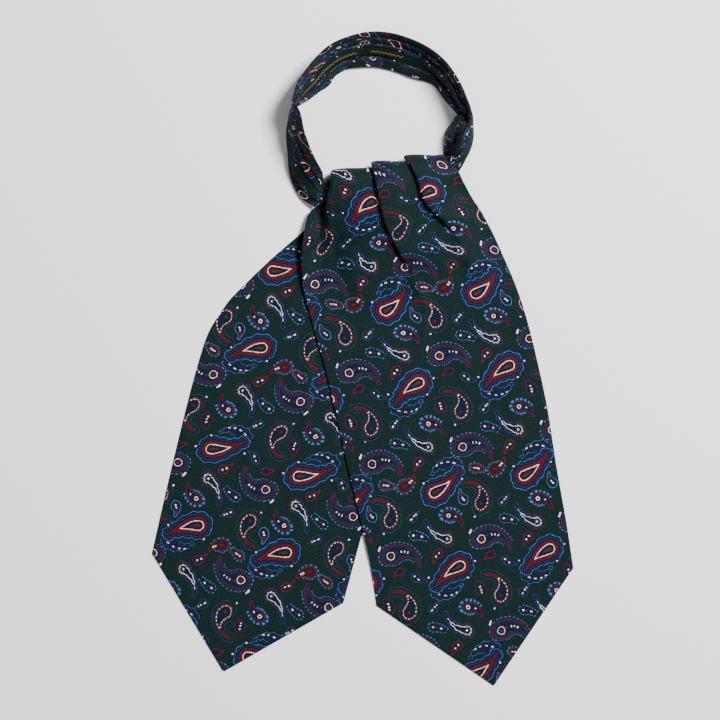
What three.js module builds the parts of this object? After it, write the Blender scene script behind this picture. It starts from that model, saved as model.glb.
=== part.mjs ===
// Silk day cravat, tied over once and laid flat. Millimetres, +Z up, blades towards -Y.
import * as THREE from "three";

// Cloth
const BLADE_WALL = 1.6; // doubled silk with its interlining
const BAND_WALL = 3.0; // pleated neckband, several layers
const LAYER_GAP = 0.3;
const REST_LEVEL = BLADE_WALL / 2; // middle of a blade that lies on the surface
const STACK_LEVEL = 1.5 * BLADE_WALL + LAYER_GAP; // middle of one that lies on another
const BAND_WIDTH = 34;

// Front blade, in its own frame: across and along from the middle of its top edge
const FRONT = { x: 21, y: 153, turn: 10.8 };
const FRONT_CORNER = 333;
const FRONT_POINT = 77; // how far the tip reaches past the corners
const POINT_STARTS = 144; // above this the rows run straight across
const PRESSED_HEIGHT = 4.2; // most that a fold's edge stands over the cloth to its left
const ROLL = { along: 12.5, level: 9, radius: 8.5, from: -12, steps: 7 };

// Back blade, in its own frame
const BACK = { x: -9.6, y: 118.6, turn: -14.5 };
const BACK_TOP = -36; // hidden in the knot
const BACK_CORNER = 296;
const BACK_POINT = 74;
const BACK_GRID = { long: 26, wide: 14 };

const rad = THREE.MathUtils.degToRad;
const mix = THREE.MathUtils.lerp;
const ease = THREE.MathUtils.smoothstep;

// Rows of a table as a smooth curve: the value of one column at a place in the key column.
function reader(rows, key) {
  const last = rows.length - 1;
  return (at, column) => {
    const t = THREE.MathUtils.clamp(at, rows[0][key], rows[last][key]);
    let i = 0;
    while (i < last - 1 && rows[i + 1][key] < t) i += 1;
    const [a, b] = [rows[i], rows[i + 1]];
    const span = b[key] - a[key];
    const chord = (b[column] - a[column]) / span;
    const before = rows[Math.max(i - 1, 0)];
    const after = rows[Math.min(i + 2, last)];
    const slopeIn = i > 0 ? (b[column] - before[column]) / (b[key] - before[key]) : chord;
    const slopeOut = i + 2 <= last ? (after[column] - a[column]) / (after[key] - a[key]) : chord;
    const u = (t - a[key]) / span;
    return (
      a[column] * (1 - 3 * u * u + 2 * u * u * u) +
      b[column] * (3 * u * u - 2 * u * u * u) +
      span * slopeIn * (u - 2 * u * u + u * u * u) +
      span * slopeOut * (u * u * u - u * u)
    );
  };
}

// A closed wall of one thickness about a grid of middle points, rows[i][j].
function wall(rows, thickness, floor = 0) {
  const unit = (a, b) => b.clone().sub(a).normalize();
  const along = (list, k) => {
    const sum = new THREE.Vector3();
    if (k > 0) sum.add(unit(list[k - 1], list[k]));
    if (k < list.length - 1) sum.add(unit(list[k], list[k + 1]));
    return sum;
  };
  const wide = rows[0].length;
  const faces = [1, -1].map((side) =>
    rows.map((row, i) =>
      row.map((p, j) => {
        const normal = along(row, j).cross(along(rows.map((r) => r[j]), i)).normalize();
        const q = p.clone().addScaledVector(normal, (side * thickness) / 2);
        q.z = Math.max(q.z, floor);
        return q;
      }),
    ),
  );
  const points = faces.flat(2);
  const id = (face, i, j) => (face * rows.length + i) * wide + j;
  const index = [];
  const quad = (a, b, c, d) => index.push(a, b, c, a, c, d);
  for (let i = 0; i < rows.length - 1; i++) {
    for (let j = 0; j < wide - 1; j++) {
      quad(id(0, i, j), id(0, i, j + 1), id(0, i + 1, j + 1), id(0, i + 1, j));
      quad(id(1, i, j), id(1, i + 1, j), id(1, i + 1, j + 1), id(1, i, j + 1));
    }
    quad(id(0, i, 0), id(0, i + 1, 0), id(1, i + 1, 0), id(1, i, 0));
    quad(id(1, i, wide - 1), id(1, i + 1, wide - 1), id(0, i + 1, wide - 1), id(0, i, wide - 1));
  }
  const end = rows.length - 1;
  for (let j = 0; j < wide - 1; j++) {
    quad(id(1, 0, j), id(1, 0, j + 1), id(0, 0, j + 1), id(0, 0, j));
    quad(id(0, end, j), id(0, end, j + 1), id(1, end, j + 1), id(1, end, j));
  }
  const geometry = new THREE.BufferGeometry().setFromPoints(points);
  geometry.setIndex(index);
  if (volume(points, index) < 0) geometry.setIndex(index.reverse());
  geometry.computeVertexNormals();
  return geometry;
}

function volume(points, index) {
  let sum = 0;
  for (let k = 0; k < index.length; k += 3) {
    const [a, b, c] = index.slice(k, k + 3).map((n) => points[n]);
    sum += a.dot(b.clone().cross(c)) / 6;
  }
  return sum;
}

// From a blade's own frame to the part's frame, and back.
function place(blade, across, along, level) {
  const [c, s] = [Math.cos(rad(blade.turn)), Math.sin(rad(blade.turn))];
  return new THREE.Vector3(
    blade.x + across * c + along * s,
    blade.y + across * s - along * c,
    level,
  );
}

function within(blade, x, y) {
  const [c, s] = [Math.cos(rad(blade.turn)), Math.sin(rad(blade.turn))];
  const [dx, dy] = [x - blade.x, y - blade.y];
  return { across: dx * c + dy * s, along: dx * s - dy * c };
}

// Back blade: its two sides, a row for each place down its length
const backSides = reader(
  [
    { along: -36, left: 36, right: 66 },
    { along: -18, left: 4, right: 70 },
    { along: 0, left: -12, right: 70 },
    { along: 13, left: -19, right: 69 },
    { along: 27, left: -28.5, right: 68 },
    { along: 37, left: -35.5, right: 68.5 },
    { along: 51, left: -45.2, right: 69.5 },
    { along: 65, left: -54.2, right: 71 },
    { along: 80, left: -63.2, right: 73 },
    { along: 93, left: -70.7, right: 74 },
    { along: 107, left: -76, right: 74.3 },
    { along: 119, left: -79.7, right: 74.3 },
    { along: 132, left: -81.3, right: 74.2 },
    { along: 168, left: -82.3, right: 73.6 },
    { along: 238, left: -81.4, right: 72.1 },
    { along: 296, left: -79.8, right: 71.4 },
  ],
  "along",
);

const RAMP = { from: 7, to: 30 }; // how far beyond the back blade's edge the front one stays raised

// How far the surface under the front blade is raised by the back blade, eased over a short ramp.
function restLevel(x, y) {
  const { across, along } = within(BACK, x, y);
  const outside = Math.max(
    backSides(along, "left") - across,
    across - backSides(along, "right"),
    BACK_TOP - along,
    along - BACK_CORNER - BACK_POINT,
  );
  const lift = 1 - ease(outside, RAMP.from, RAMP.to);
  return mix(REST_LEVEL, STACK_LEVEL, lift);
}

// Front blade: its length as drawn from above, the height it falls from, and its two outer sides
const frontSides = reader(
  [
    { along: 4, height: 17.5, left: -50.4, right: 40 },
    { along: 12.5, height: 17.5, left: -52.6, right: 45.5 },
    { along: 20, height: 17.2, left: -55.7, right: 50 },
    { along: 22.5, height: 17, left: -58, right: 50.7 },
    { along: 24.5, height: 16.8, left: -62, right: 51.2 },
    { along: 27, height: 16.4, left: -67.2, right: 51.9 },
    { along: 33, height: 15.5, left: -71, right: 53.8 },
    { along: 40, height: 14, left: -73.9, right: 56.2 },
    { along: 50, height: 11.6, left: -77.5, right: 60.5 },
    { along: 60, height: 9.4, left: -80.3, right: 63.9 },
    { along: 72, height: 7.3, left: -82.5, right: 67.5 },
    { along: 88, height: 5.1, left: -83.6, right: 71.3 },
    { along: 104, height: 3.4, left: -82.2, right: 75 },
    { along: 122, height: 1.9, left: -81.2, right: 78.2 },
    { along: 144, height: 0.9, left: -78.9, right: 80.6 },
    { along: 170, height: 0.8, left: -77.7, right: 82 },
    { along: 207, height: 0.8, left: -76.6, right: 82.9 },
    { along: 253, height: 0.8, left: -74.6, right: 81.4 },
    { along: 300, height: 0.8, left: -72.8, right: 80.7 },
    { along: 333, height: 0.8, left: -73.9, right: 79.4 },
  ],
  "along",
);

// Pressed folds of the front blade from left to right. across: where the fold's edge shows.
// turn: how far the cloth turns under it. under: how deep the cloth lies beneath it.
// loose: radius of its bends.
const FOLDS = [
  [
    { along: 4, across: -46.2, turn: 86, under: 1.5, loose: 2.5 },
    { along: 12.5, across: -48.6, turn: 86, under: 3, loose: 2.5 },
    { along: 20, across: -51.6, turn: 86, under: 7, loose: 2.5 },
    { along: 24.5, across: -52.8, turn: 84, under: 9.5, loose: 2.5 },
    { along: 27, across: -53.4, turn: 80, under: 10, loose: 2.5 },
    { along: 33, across: -54.8, turn: 70, under: 8.5, loose: 2.6 },
    { along: 40, across: -56.6, turn: 52, under: 7.5, loose: 2.8 },
    { along: 50, across: -58.8, turn: 28, under: 6.5, loose: 3 },
    { along: 60, across: -60.5, turn: 14, under: 6, loose: 2.6 },
    { along: 72, across: -61.5, turn: 5, under: 6, loose: 3 },
    { along: 120, across: -61.5, turn: 4, under: 6, loose: 3 },
  ],
  [
    { along: 4, across: -14.3, turn: 176, under: 3.2, loose: 1.1 },
    { along: 27, across: -13.8, turn: 176, under: 3.2, loose: 1.1 },
    { along: 44, across: -13.1, turn: 174, under: 3, loose: 1.1 },
    { along: 60, across: -9.8, turn: 172, under: 2.4, loose: 1.1 },
    { along: 68, across: -7.2, turn: 165, under: 1.6, loose: 1.15 },
    { along: 74, across: -5.2, turn: 120, under: 0.9, loose: 1.3 },
    { along: 80, across: -3.4, turn: 70, under: 0.8, loose: 1.7 },
    { along: 86, across: -1.4, turn: 35, under: 1.2, loose: 2.3 },
    { along: 94, across: 0.5, turn: 10, under: 2, loose: 3 },
    { along: 120, across: 3, turn: 4, under: 2, loose: 3 },
  ],
  [
    { along: 4, across: 11, turn: 176, under: 2.6, loose: 1.1 },
    { along: 9, across: 14.7, turn: 176, under: 2.6, loose: 1.1 },
    { along: 20, across: 17.6, turn: 176, under: 2.6, loose: 1.1 },
    { along: 33, across: 18.9, turn: 175, under: 2.6, loose: 1.1 },
    { along: 43, across: 23, turn: 172, under: 2.3, loose: 1.1 },
    { along: 49, across: 27.5, turn: 165, under: 1.6, loose: 1.15 },
    { along: 54, across: 31.2, turn: 120, under: 0.9, loose: 1.3 },
    { along: 59, across: 34.2, turn: 70, under: 0.8, loose: 1.7 },
    { along: 65, across: 36.6, turn: 32, under: 1.2, loose: 2.3 },
    { along: 74, across: 38.8, turn: 9, under: 2, loose: 3 },
    { along: 120, across: 42, turn: 4, under: 2, loose: 3 },
  ],
].map((rows) => reader(rows, "along"));

// How much lower the front blade lies at its two sides than in its middle
const sideDrop = reader(
  [
    { along: 4, left: 0.12, right: 0.25 },
    { along: 20, left: 0.15, right: 0.3 },
    { along: 30, left: 0.25, right: 0.45 },
    { along: 45, left: 0.5, right: 0.65 },
    { along: 65, left: 0.75, right: 0.8 },
    { along: 100, left: 0.85, right: 0.85 },
    { along: 150, left: 0.9, right: 0.9 },
  ],
  "along",
);

const SIDE_ROUNDS = { left: 16, right: 20 }; // over what width that drop rounds off

const ARC_STEPS = 3;
const PANEL_STEPS = [3, 5, 4, 5]; // grid steps in the panels between the folds
const FLATTENS = { from: 84, to: 112 }; // where the last trace of the folds is pressed out

// One section of the front blade: points across and above its base line.
function frontSection(along) {
  const points = [];
  let x = frontSides(along, "left");
  let h = 0;
  const folds = FOLDS.map((fold) => {
    const turn = rad(fold(along, "turn"));
    const under = fold(along, "under");
    const r = fold(along, "loose");
    const rise = 2 * r * (1 - Math.cos(turn)) + under * Math.sin(turn);
    const edge = fold(along, "across");
    const start = edge + r - 2 * r * Math.sin(turn) - under * Math.cos(turn);
    return { turn, under, r, rise, start };
  });
  const panel = (toX, toH, steps, first) => {
    for (let k = first; k <= steps; k++) {
      const t = k / steps;
      points.push([mix(x, toX, t), mix(h, toH, ease(t, 0, 1))]);
    }
  };
  h = Math.min(PRESSED_HEIGHT, folds[0].rise) - folds[0].rise;
  folds.forEach((fold, n) => {
    panel(fold.start, n ? 0 : h, PANEL_STEPS[n], n ? 1 : 0);
    [x, h] = points.at(-1);
    const arc = (from, to) => {
      const [x0, h0] = [x, h];
      const sign = Math.sign(to - from);
      for (let k = 1; k <= ARC_STEPS; k++) {
        const a = mix(from, to, k / ARC_STEPS);
        x = x0 + sign * fold.r * (Math.sin(a) - Math.sin(from));
        h = h0 - sign * fold.r * (Math.cos(a) - Math.cos(from));
        points.push([x, h]);
      }
    };
    arc(0, fold.turn);
    x += fold.under * Math.cos(fold.turn);
    h += fold.under * Math.sin(fold.turn);
    points.push([x, h]);
    arc(fold.turn, 0);
  });
  panel(frontSides(along, "right"), 0, PANEL_STEPS[3], 1);
  const flat = ease(along, FLATTENS.from, FLATTENS.to);
  const [from, to] = [points[0][0], points.at(-1)[0]];
  return points.map(([px, ph], k) => [
    mix(px, mix(from, to, k / (points.length - 1)), flat),
    mix(ph, 0, flat),
  ]);
}

const FRONT_ROWS = [
  18, 20.3, 22.5, 24.5, 27, 30, 33.5, 38, 43, 48.5, 54, 59, 64, 69, 74, 79, 85, 92, 100, 112, 126,
  144, 160, 176, 192, 208, 224, 240, 256, 272, 290, 310, 333,
];

// Share from 0 at a grid's sides to 1 in its middle.
function middle(k, steps) {
  return 1 - Math.abs((2 * k) / steps - 1);
}

// Height of the front blade's base line, lower towards its two sides.
function dropped(across, along, height) {
  const left = (across - FOLDS[0](along, "across")) / SIDE_ROUNDS.left;
  const right = (frontSides(along, "right") - across) / SIDE_ROUNDS.right;
  const low = sideDrop(along, "left") * Math.exp(-(left ** 2));
  const off = sideDrop(along, "right") * Math.exp(-(right ** 2));
  return mix(REST_LEVEL, height, Math.max(0, 1 - low - off));
}

// One row of the front blade. lean: the angle it has turned through on its way over the roll.
function frontRow(along, height, section, lean, point) {
  return section.map(([across, h], k) => {
    const reach = along - h * Math.cos(lean) + point * middle(k, section.length - 1);
    const level = dropped(across, along, height) + h * Math.sin(lean);
    const p = place(FRONT, across, reach, level);
    p.z = Math.max(p.z, restLevel(p.x, p.y));
    return p;
  });
}

function frontBlade() {
  const rows = [];
  for (let k = 0; k <= ROLL.steps; k++) {
    const lean = rad(mix(ROLL.from, 90, k / ROLL.steps));
    const along = ROLL.along - ROLL.radius * Math.cos(lean);
    const height = ROLL.level + ROLL.radius * Math.sin(lean);
    rows.push(frontRow(along, height, frontSection(along), lean, 0));
  }
  FRONT_ROWS.forEach((along) => {
    const past = Math.max(0, along - POINT_STARTS) / (FRONT_CORNER - POINT_STARTS);
    const height = frontSides(along, "height");
    rows.push(frontRow(along, height, frontSection(along), Math.PI / 2, FRONT_POINT * past));
  });
  return wall(rows, BLADE_WALL);
}

function backBlade() {
  const rows = [];
  for (let i = 0; i <= BACK_GRID.long; i++) {
    const along = mix(BACK_TOP, BACK_CORNER, i / BACK_GRID.long);
    const [left, right] = [backSides(along, "left"), backSides(along, "right")];
    const point = BACK_POINT * Math.max(0, along / BACK_CORNER);
    const row = [];
    for (let j = 0; j <= BACK_GRID.wide; j++) {
      const reach = along + point * middle(j, BACK_GRID.wide);
      row.push(place(BACK, mix(left, right, j / BACK_GRID.wide), reach, REST_LEVEL));
    }
    rows.push(row);
  }
  return wall(rows, BLADE_WALL);
}

// Neckband: a row for each station clockwise round the loop. b: its lower edge. t: its upper edge.
const bandLine = reader(
  [
    { at: 0, bx: -36.6, by: 117.2, bz: 4.6, tx: -29, ty: 136.6, tz: 9 },
    { at: 1, bx: -47.8, by: 124.7, bz: 1.4, tx: -30.6, ty: 143.6, tz: 14.5 },
    { at: 2, bx: -55.5, by: 140.8, bz: 1, tx: -35.6, ty: 152.2, tz: 23 },
    { at: 3, bx: -57, by: 160.7, bz: 1, tx: -40.2, ty: 162.9, tz: 28.5 },
    { at: 4, bx: -57, by: 177.5, bz: 1, tx: -45.5, ty: 176, tz: 32 },
    { at: 5, bx: -53.9, by: 189.7, bz: 1, tx: -47.8, ty: 187.4, tz: 33.4 },
    { at: 6, bx: -47.8, by: 195.8, bz: 1, tx: -52, ty: 196.5, tz: 33.5 },
    { at: 7, bx: -39.4, by: 201.2, bz: 1, tx: -50.1, ty: 206.6, tz: 31.8 },
    { at: 8, bx: -28.7, by: 208.6, bz: 1, tx: -45.5, ty: 216.5, tz: 28 },
    { at: 9, bx: -19.5, by: 217.2, bz: 1, tx: -35.6, ty: 229.5, tz: 27.5 },
    { at: 10, bx: -9.6, by: 223.1, bz: 1, tx: -20.3, ty: 242.2, tz: 26 },
    { at: 11, bx: 5, by: 224.9, bz: 1, tx: 2.7, ty: 249.6, tz: 23 },
    { at: 12, bx: 21, by: 221.8, bz: 1, tx: 25.6, ty: 248, tz: 21.5 },
    { at: 13, bx: 37.9, by: 216.5, bz: 1, tx: 47, ty: 239.8, tz: 23.5 },
    { at: 14, bx: 52.4, by: 210.9, bz: 1, tx: 62.3, ty: 227.4, tz: 28.5 },
    { at: 15, bx: 60.6, by: 203.5, bz: 1, tx: 72.3, ty: 214.2, tz: 30.5 },
    { at: 16, bx: 66.2, by: 196, bz: 1, tx: 77.6, ty: 201.2, tz: 31.7 },
    { at: 17, bx: 72.3, by: 189.5, bz: 1, tx: 81.3, ty: 191, tz: 32.8 },
    { at: 18, bx: 79, by: 182.8, bz: 1, tx: 81.6, ty: 183.5, tz: 33.5 },
    { at: 19, bx: 83.4, by: 175.2, bz: 1, tx: 77.6, ty: 175.2, tz: 31 },
    { at: 20, bx: 84, by: 167.5, bz: 1, tx: 73.8, ty: 167.2, tz: 26.5 },
    { at: 21, bx: 81.5, by: 158.9, bz: 1, tx: 69.6, ty: 161.4, tz: 20 },
    { at: 22, bx: 77.4, by: 150, bz: 1.2, tx: 66.6, ty: 156.4, tz: 11.5 },
    { at: 23, bx: 73.2, by: 143.2, bz: 1.4, tx: 63.4, ty: 149.8, tz: 5.6 },
  ],
  "at",
);

// The neckband's pressed pleats: a row for each line across its width, and how far it stands in.
const BAND_PLEATS = [
  { across: 0, stands: 0.2 },
  { across: 0.1, stands: 0.5 },
  { across: 0.24, stands: 0.9 },
  { across: 0.28, stands: -0.3 },
  { across: 0.42, stands: 0.1 },
  { across: 0.56, stands: 0.2 },
  { across: 0.61, stands: 0.7 },
  { across: 0.65, stands: -0.4 },
  { across: 0.8, stands: 0.6 },
  { across: 0.84, stands: -0.4 },
  { across: 0.93, stands: 0.1 },
  { across: 1, stands: 0 },
];
const BAND_CROWN = 2.2; // how far the band bows outwards across its width
const BAND_END = 23;
const BAND_SEAMS = { left: [0, 6.44], back: [6.5, 13.96], right: [14.01, BAND_END] };
const LOOK_AHEAD = 0.1; // either side of a station, for the band's direction there

function bandPoint(at, across, stands) {
  const read = (column, s = at) => bandLine(s, column);
  const low = new THREE.Vector3(read("bx"), read("by"), read("bz"));
  const high = new THREE.Vector3(read("tx"), read("ty"), read("tz"));
  const ahead = Math.min(at + LOOK_AHEAD, BAND_END);
  const behind = Math.max(at - LOOK_AHEAD, 0);
  const run = new THREE.Vector3(
    read("bx", ahead) + read("tx", ahead) - read("bx", behind) - read("tx", behind),
    read("by", ahead) + read("ty", ahead) - read("by", behind) - read("ty", behind),
    0,
  );
  const inward = run.cross(high.clone().sub(low)).normalize();
  const crown = BAND_CROWN * 4 * across * (1 - across) * ease(BAND_END - at, 0, 3);
  const share = Math.min(1, low.distanceTo(high) / BAND_WIDTH);
  const point = low.lerp(high, across).addScaledVector(inward, stands * share - crown);
  return { point, inward };
}

function bandStretch([from, to], steps) {
  const rows = [];
  for (let i = 0; i <= steps; i++) {
    const at = mix(from, to, i / steps);
    rows.push(BAND_PLEATS.map((pleat) => bandPoint(at, pleat.across, pleat.stands).point));
  }
  return wall(rows, BAND_WALL);
}

// Inner pleats of the neckband that open away from it beside the knot: upper and lower edge
const leafLine = reader(
  [
    { at: 0, bx: 71.6, by: 186.6, bz: 1.2, tx: 77, ty: 186.4, tz: 25 },
    { at: 1, bx: 69, by: 181.6, bz: 1, tx: 76.6, ty: 181.4, tz: 26 },
    { at: 2, bx: 65.6, by: 177, bz: 1, tx: 73.6, ty: 176.2, tz: 24.5 },
    { at: 3, bx: 63.7, by: 172.4, bz: 1, tx: 70, ty: 170.6, tz: 21 },
    { at: 4, bx: 63, by: 166.4, bz: 1, tx: 66.8, ty: 165.4, tz: 16 },
    { at: 5, bx: 62.8, by: 161.2, bz: 1, tx: 65, ty: 161.4, tz: 11 },
  ],
  "at",
);
const LEAF = { wall: 1.6, end: 5, long: 10, wide: 6, bulge: 1.6 };

function innerLeaf() {
  const rows = [];
  for (let i = 0; i <= LEAF.long; i++) {
    const at = (LEAF.end * i) / LEAF.long;
    const row = [];
    for (let j = 0; j <= LEAF.wide; j++) {
      const t = j / LEAF.wide;
      const bulge = LEAF.bulge * Math.sin(Math.PI * t);
      row.push(
        new THREE.Vector3(
          mix(leafLine(at, "bx"), leafLine(at, "tx"), t) - bulge,
          mix(leafLine(at, "by"), leafLine(at, "ty"), t),
          mix(leafLine(at, "bz"), leafLine(at, "tz"), t),
        ),
      );
    }
    rows.push(row);
  }
  return wall(rows, LEAF.wall);
}

// Label strip: made from the neckband's own points, moved in off its face
const STRIP = { from: 6.6, to: 12.4, low: 0.33, high: 0.53, stands: 0.1, wall: 0.6, steps: 28 };
const STRIP_LIFT = 0.5 + (BAND_WALL + STRIP.wall) / 2; // clears the pleats where the band bends

function labelStrip() {
  const rows = [];
  for (let i = 0; i <= STRIP.steps; i++) {
    const at = mix(STRIP.from, STRIP.to, i / STRIP.steps);
    rows.push(
      [0, 0.5, 1].map((t) => {
        const { point, inward } = bandPoint(at, mix(STRIP.low, STRIP.high, t), STRIP.stands);
        return point.addScaledVector(inward, STRIP_LIFT);
      }),
    );
  }
  return wall(rows, STRIP.wall);
}

// Hidden layers inside the knot, one rounded solid: half-widths and heights from end to end
const coreLine = reader(
  [
    { across: -36, near: 16, far: 30, top: 6 },
    { across: -30, near: 9.5, far: 42, top: 11.5 },
    { across: -15, near: 7, far: 50, top: 14.5 },
    { across: 5, near: 6.6, far: 52, top: 15 },
    { across: 20, near: 7, far: 48, top: 14 },
    { across: 28, near: 9.5, far: 40, top: 10.5 },
    { across: 32, near: 16, far: 28, top: 6 },
  ],
  "across",
);
const CORE_BASE = BLADE_WALL + LAYER_GAP;
const CORE = { from: -36, to: 32, steps: 12, round: 16, far: 2 }; // far: its height at the far side
const CORE_BOW = 0.6; // below 1, so that its sections are fuller than ellipses

function knotCore() {
  const bow = (v) => Math.sign(v) * Math.abs(v) ** CORE_BOW;
  const rings = [];
  for (let i = 0; i <= CORE.steps; i++) {
    const across = mix(CORE.from, CORE.to, i / CORE.steps);
    const [near, far] = [coreLine(across, "near"), coreLine(across, "far")];
    const ring = [];
    for (let j = 0; j < CORE.round; j++) {
      const a = (j / CORE.round) * 2 * Math.PI;
      const t = (1 - bow(Math.cos(a))) / 2;
      const roof = mix(coreLine(across, "top"), CORE_BASE + CORE.far, ease(t, 0.3, 1));
      const level = mix(CORE_BASE, roof, (1 + bow(Math.sin(a))) / 2);
      ring.push(place(FRONT, across, mix(near, far, t), level));
    }
    rings.push(ring);
  }
  return tube(rings);
}

// A closed solid through rings of equal count, each end closed by a fan.
function tube(rings) {
  const round = rings[0].length;
  const centre = (ring) =>
    ring.reduce((sum, p) => sum.add(p), new THREE.Vector3()).divideScalar(round);
  const points = [...rings.flat(), centre(rings[0]), centre(rings.at(-1))];
  const index = [];
  const tail = (rings.length - 1) * round;
  for (let j = 0; j < round; j++) {
    const next = (j + 1) % round;
    for (let i = 0; i < rings.length - 1; i++) {
      const [a, b] = [i * round + j, i * round + next];
      index.push(a, b, b + round, a, b + round, a + round);
    }
    index.push(points.length - 2, next, j);
    index.push(points.length - 1, tail + j, tail + next);
  }
  const geometry = new THREE.BufferGeometry().setFromPoints(points);
  geometry.setIndex(volume(points, index) < 0 ? index.reverse() : index);
  geometry.computeVertexNormals();
  return geometry;
}

const SILK = { color: 0x16302c, roughness: 0.6, metalness: 0 };
const RIBBON = { color: 0x1d3a2c, roughness: 0.7, metalness: 0 };

const cravat = new THREE.Group();
function piece(name, geometry, look) {
  const mesh = new THREE.Mesh(geometry, new THREE.MeshStandardMaterial(look));
  mesh.name = name;
  cravat.add(mesh);
}

piece("front_blade", frontBlade(), SILK);
piece("back_blade", backBlade(), SILK);
piece("neckband_left", bandStretch(BAND_SEAMS.left, 15), SILK);
piece("neckband_back", bandStretch(BAND_SEAMS.back, 18), SILK);
piece("neckband_right", bandStretch(BAND_SEAMS.right, 19), SILK);
piece("neckband_inner_leaf", innerLeaf(), SILK);
piece("label_strip", labelStrip(), RIBBON);
piece("knot_core", knotCore(), SILK);

cravat.position.set(-0.21, -0.88, 0); // centres the outline on the part's origin

export default cravat;
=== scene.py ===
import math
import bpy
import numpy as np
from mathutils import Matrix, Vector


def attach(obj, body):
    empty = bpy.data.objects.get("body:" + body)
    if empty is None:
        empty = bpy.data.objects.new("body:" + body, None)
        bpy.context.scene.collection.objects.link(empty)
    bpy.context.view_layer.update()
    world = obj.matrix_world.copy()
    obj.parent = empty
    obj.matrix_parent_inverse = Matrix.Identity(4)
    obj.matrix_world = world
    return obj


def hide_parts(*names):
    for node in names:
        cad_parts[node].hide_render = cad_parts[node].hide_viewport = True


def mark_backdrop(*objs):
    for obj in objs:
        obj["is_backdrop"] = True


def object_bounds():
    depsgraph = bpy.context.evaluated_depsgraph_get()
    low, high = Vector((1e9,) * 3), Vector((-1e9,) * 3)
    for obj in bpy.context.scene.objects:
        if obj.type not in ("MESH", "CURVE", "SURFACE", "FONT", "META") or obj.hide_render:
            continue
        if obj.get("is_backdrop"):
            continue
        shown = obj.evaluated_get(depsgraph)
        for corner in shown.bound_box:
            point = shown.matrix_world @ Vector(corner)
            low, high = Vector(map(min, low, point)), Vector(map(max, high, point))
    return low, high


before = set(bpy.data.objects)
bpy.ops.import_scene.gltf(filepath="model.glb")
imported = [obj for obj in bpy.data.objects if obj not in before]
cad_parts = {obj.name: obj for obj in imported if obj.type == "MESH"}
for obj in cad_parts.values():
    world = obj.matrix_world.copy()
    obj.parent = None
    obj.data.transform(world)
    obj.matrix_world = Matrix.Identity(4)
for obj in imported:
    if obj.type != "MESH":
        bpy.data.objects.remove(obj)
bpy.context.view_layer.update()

# %% [markdown]
# # A silk day cravat
# A cravat is one long strip of printed silk. Its middle is pleated down to a narrow
# neckband, and its two ends stay wide as blades. Here it is tied over once and laid flat.

# %% [markdown]
# ## Curves from short tables
# Every outline below is a short table of measured places. A cubic curve that passes through
# each of them gives a smooth edge. The slope at a place is that of its two neighbours.

# %% Smooth curves through a table
def table(names, *rows):
    """Columns of numbers by name. The first column is the key, and grows down the table."""
    return dict(zip(names.split(), np.array(rows, float).T))


def read(rows, at, column):
    """One column at the keys `at`: on each span, the cubic with both end values and slopes."""
    keys, values = next(iter(rows.values())), rows[column]
    at = np.clip(at, keys[0], keys[-1])
    i = np.clip(np.searchsorted(keys, at, side="right") - 1, 0, len(keys) - 2)
    slopes = np.empty(len(keys))
    slopes[1:-1] = (values[2:] - values[:-2]) / (keys[2:] - keys[:-2])
    slopes[0] = (values[1] - values[0]) / (keys[1] - keys[0])
    slopes[-1] = (values[-1] - values[-2]) / (keys[-1] - keys[-2])
    span = keys[i + 1] - keys[i]
    t = (at - keys[i]) / span
    return (values[i] * (1 + 2 * t) * (1 - t) ** 2 + values[i + 1] * t * t * (3 - 2 * t)
            + span * t * (1 - t) * (slopes[i] * (1 - t) - slopes[i + 1] * t))


def ease(x, low, high):
    """0 below low, 1 above high, and a smooth S between them."""
    t = np.clip((x - low) / (high - low), 0, 1)
    return t * t * (3 - 2 * t)


def mix(a, b, t):
    """The point a share t of the way from a to b."""
    return a + (b - a) * t


print("a smooth step, in quarters:", ease(np.linspace(0, 1, 5), 0, 1).tolist())

# %% [markdown]
# ## Cloth as a closed shell
# Cloth is thin, but an object has to be closed. So each piece starts as a grid of points in
# the middle of the cloth, and gets two faces, half a thickness to either side. The thickness
# runs out softly at the edges, as on a rolled hem. Each point also knows its place on the
# flat cloth, in millimetres, and the print will follow that.

# %% A shell round a grid of middle points
CENTRE = np.array([-0.21, -0.88, 0])  # moves the outline's middle onto the origin
BORDER = 0.03  # the least share, squared, of the thickness, so that a border stays open


def solid(name, points, quads, flat):
    """A smooth mesh object from points in mm, four-cornered faces and a flat place a point.
    A face that names a corner twice, as round a pole, becomes a triangle."""
    faces = [list(dict.fromkeys(corners)) for corners in quads.tolist()]
    mesh = bpy.data.meshes.new(name)
    mesh.from_pydata(((points + CENTRE) / 1000).tolist(), [], faces)
    layer = mesh.uv_layers.new(name="cloth")
    around = [corner for face in faces for corner in face]
    layer.uv.foreach_set("vector", (flat[around] / 1000).ravel())
    mesh.shade_smooth()
    piece = bpy.data.objects.new(name, mesh)
    bpy.context.scene.collection.objects.link(piece)
    print(name, "has", sum(len(corners) - 2 for corners in faces), "triangles")
    return piece


def unit(v):
    """Each vector divided by its own length."""
    return v / np.maximum(np.linalg.norm(v, axis=-1, keepdims=True), 1e-9)


def tangents(grid, axis):
    """At each point, the sum of the directions to its two neighbours along one axis."""
    grid = np.moveaxis(grid, axis, 0)
    step = unit(np.diff(grid, axis=0))
    total = np.zeros_like(grid)
    total[:-1] += step
    total[1:] += step
    return np.moveaxis(total, 0, axis)


def normals(grid):
    """The directions square to the cloth: the cross product of its two tangents."""
    return unit(np.cross(tangents(grid, 1), tangents(grid, 0)))


def run_along(line):
    """Length run along a line of points: the sum of all steps so far."""
    return np.concatenate([[0], np.cumsum(np.linalg.norm(np.diff(line, axis=0), axis=-1))])


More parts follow.
